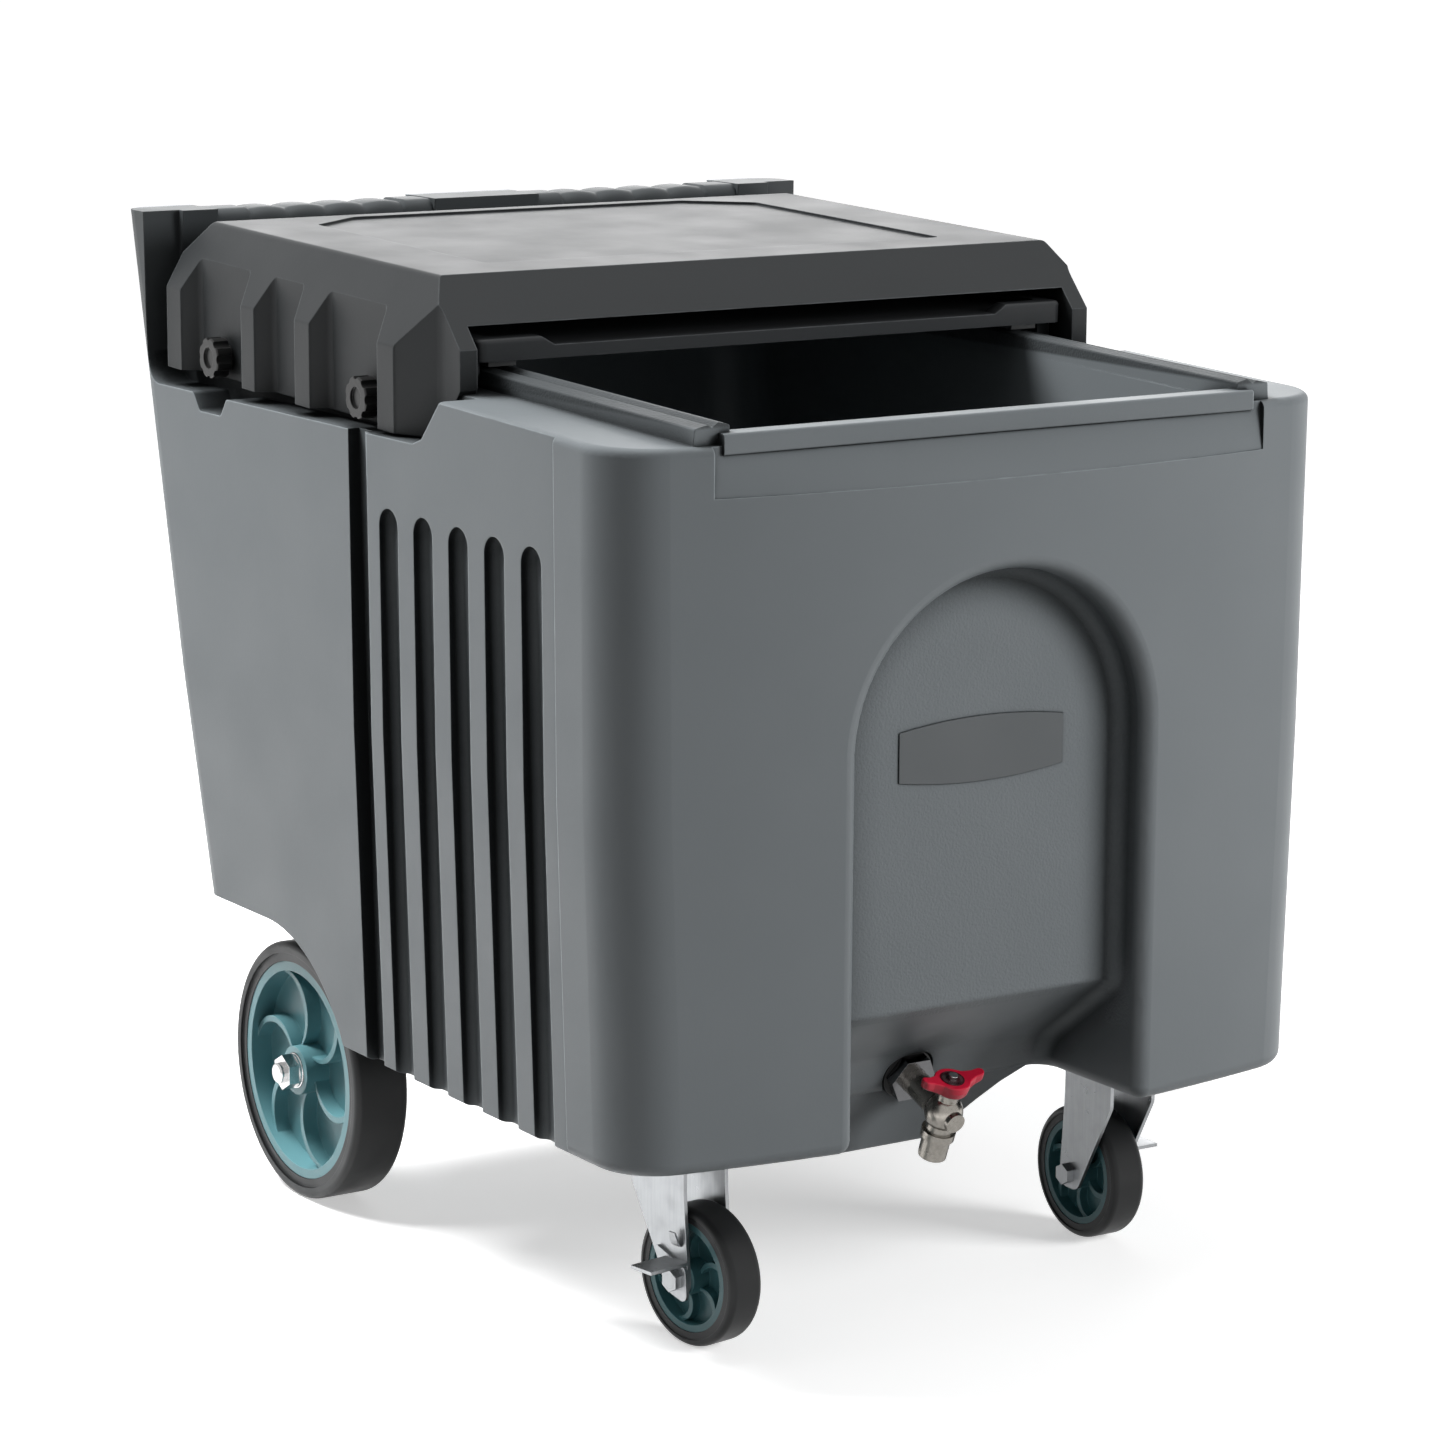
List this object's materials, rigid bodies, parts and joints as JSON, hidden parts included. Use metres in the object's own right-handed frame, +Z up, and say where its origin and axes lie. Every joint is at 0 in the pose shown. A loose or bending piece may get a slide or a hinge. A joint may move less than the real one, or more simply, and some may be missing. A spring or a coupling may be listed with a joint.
{
  "type": "mobile ice bin",
  "caption": "Wheeled, insulated ice bin with a sliding lid under a rear hood, push handle, rear wheels, front swivel casters with brakes and a drain tap.",
  "frame": {"origin": "floor level, in the middle of the overall width and length", "axes": "+Z up, -Y towards the drain side, +X to the right of someone who looks along +Y"},
  "size_m": [0.6034, 0.7619, 0.747],
  "materials": {
    "body_plastic": "fine-grained dark grey moulded polyethylene",
    "badge_plastic": "smooth dark grey",
    "hood_plastic": "fine-grained charcoal moulded polyethylene",
    "lid_plastic": "fine-grained charcoal moulded polyethylene",
    "glide_plastic": "natural glide strip",
    "knob_plastic": "black",
    "stud_steel": "zinc plated",
    "insert_brass": "machined",
    "axle_steel": "zinc plated",
    "bracket_steel": "dark coat",
    "wheel_teal": "teal moulded",
    "tyre_rubber": "black",
    "bearing_plastic": "black",
    "caster_zinc": "bright zinc",
    "brake_zinc": "bright zinc",
    "gasket_rubber": "black",
    "tap_nickel": "nickel plated brass",
    "tap_steel": "polished",
    "handle_red": "red"
  },
  "bodies": {
    "bin": {"body_shell": "body_plastic", "badge_plate": "badge_plastic", "hood": "hood_plastic", "knob_inserts": "insert_brass", "rear_axle": "axle_steel", "axle_brackets": "bracket_steel", "bracket_bolts": "bracket_steel", "axle_rings": "axle_steel", "axle_nuts": "axle_steel", "caster_plate_left": "caster_zinc", "caster_plate_right": "caster_zinc", "caster_race_left": "caster_zinc", "caster_race_right": "caster_zinc", "caster_kingpin_left": "caster_zinc", "caster_kingpin_right": "caster_zinc", "caster_bolts": "caster_zinc", "drain_gasket": "gasket_rubber", "drain_lock_nut": "tap_nickel", "tap_body": "tap_nickel"},
    "lid": {"sliding_lid": "lid_plastic", "lid_runners": "glide_plastic"},
    "rear_wheel_left": {"rear_wheel_core_left": "wheel_teal", "rear_tyre_left": "tyre_rubber", "rear_bearing_left": "bearing_plastic"},
    "rear_wheel_right": {"rear_wheel_core_right": "wheel_teal", "rear_tyre_right": "tyre_rubber", "rear_bearing_right": "bearing_plastic"},
    "caster_swivel_left": {"caster_fork_left": "caster_zinc", "caster_axle_bolt_left": "caster_zinc", "caster_axle_nut_left": "caster_zinc"},
    "caster_wheel_left": {"caster_wheel_core_left": "wheel_teal", "caster_tyre_left": "tyre_rubber"},
    "caster_brake_left": {"caster_brake_lever_left": "brake_zinc"},
    "caster_swivel_right": {"caster_fork_right": "caster_zinc", "caster_axle_bolt_right": "caster_zinc", "caster_axle_nut_right": "caster_zinc"},
    "caster_wheel_right": {"caster_wheel_core_right": "wheel_teal", "caster_tyre_right": "tyre_rubber"},
    "caster_brake_right": {"caster_brake_lever_right": "brake_zinc"},
    "tap_turn": {"tap_ball": "tap_steel", "tap_stem": "tap_steel", "tap_handle": "handle_red", "tap_handle_nut": "tap_steel"},
    "knob_front_left": {"knob_front_left": "knob_plastic", "knob_stud_front_left": "stud_steel"},
    "knob_rear_left": {"knob_rear_left": "knob_plastic", "knob_stud_rear_left": "stud_steel"},
    "knob_front_right": {"knob_front_right": "knob_plastic", "knob_stud_front_right": "stud_steel"},
    "knob_rear_right": {"knob_rear_right": "knob_plastic", "knob_stud_rear_right": "stud_steel"}
  },
  "joints": [
    {"name": "lid_slide", "type": "slide", "parent": "bin", "child": "lid", "axis": [0, -0.9995, -0.0332], "range_m": [0, 0.285]},
    {"name": "rear_wheel_spin_left", "type": "hinge", "parent": "bin", "child": "rear_wheel_left", "pos_m": [-0.2455, 0.1724, 0.1], "axis": [1, 0, 0], "continuous": true},
    {"name": "rear_wheel_spin_right", "type": "hinge", "parent": "bin", "child": "rear_wheel_right", "pos_m": [0.2455, 0.1724, 0.1], "axis": [1, 0, 0], "continuous": true},
    {"name": "caster_swivel_left", "type": "hinge", "parent": "bin", "child": "caster_swivel_left", "pos_m": [-0.1927, -0.255, 0.14], "axis": [0, 0, 1], "continuous": true},
    {"name": "caster_spin_left", "type": "hinge", "parent": "caster_swivel_left", "child": "caster_wheel_left", "pos_m": [-0.18878, -0.28121, 0.05], "axis": [-0.989, -0.1478, 0], "continuous": true},
    {"name": "caster_brake_left", "type": "hinge", "parent": "caster_swivel_left", "child": "caster_brake_left", "pos_m": [-0.18878, -0.28121, 0.05], "axis": [-0.989, -0.1478, 0], "range_deg": [0, 18]},
    {"name": "caster_swivel_right", "type": "hinge", "parent": "bin", "child": "caster_swivel_right", "pos_m": [0.1927, -0.255, 0.14], "axis": [0, 0, 1], "continuous": true},
    {"name": "caster_spin_right", "type": "hinge", "parent": "caster_swivel_right", "child": "caster_wheel_right", "pos_m": [0.19307, -0.2285, 0.05], "axis": [0.9999, -0.014, 0], "continuous": true},
    {"name": "caster_brake_right", "type": "hinge", "parent": "caster_swivel_right", "child": "caster_brake_right", "pos_m": [0.19307, -0.2285, 0.05], "axis": [0.9999, -0.014, 0], "range_deg": [0, 18]},
    {"name": "tap_turn", "type": "hinge", "parent": "bin", "child": "tap_turn", "pos_m": [0, -0.30673, 0.1438], "axis": [0, -0.3584, 0.9336], "range_deg": [0, 90]},
    {"name": "knob_turn_front_left", "type": "hinge", "parent": "bin", "child": "knob_front_left", "pos_m": [-0.2855, 0.01, 0.639], "axis": [-1, 0, 0], "continuous": true},
    {"name": "knob_turn_rear_left", "type": "hinge", "parent": "bin", "child": "knob_rear_left", "pos_m": [-0.2855, 0.242, 0.644], "axis": [-1, 0, 0], "continuous": true},
    {"name": "knob_turn_front_right", "type": "hinge", "parent": "bin", "child": "knob_front_right", "pos_m": [0.2855, 0.01, 0.639], "axis": [1, 0, 0], "continuous": true},
    {"name": "knob_turn_rear_right", "type": "hinge", "parent": "bin", "child": "knob_rear_right", "pos_m": [0.2855, 0.242, 0.644], "axis": [1, 0, 0], "continuous": true}
  ]
}
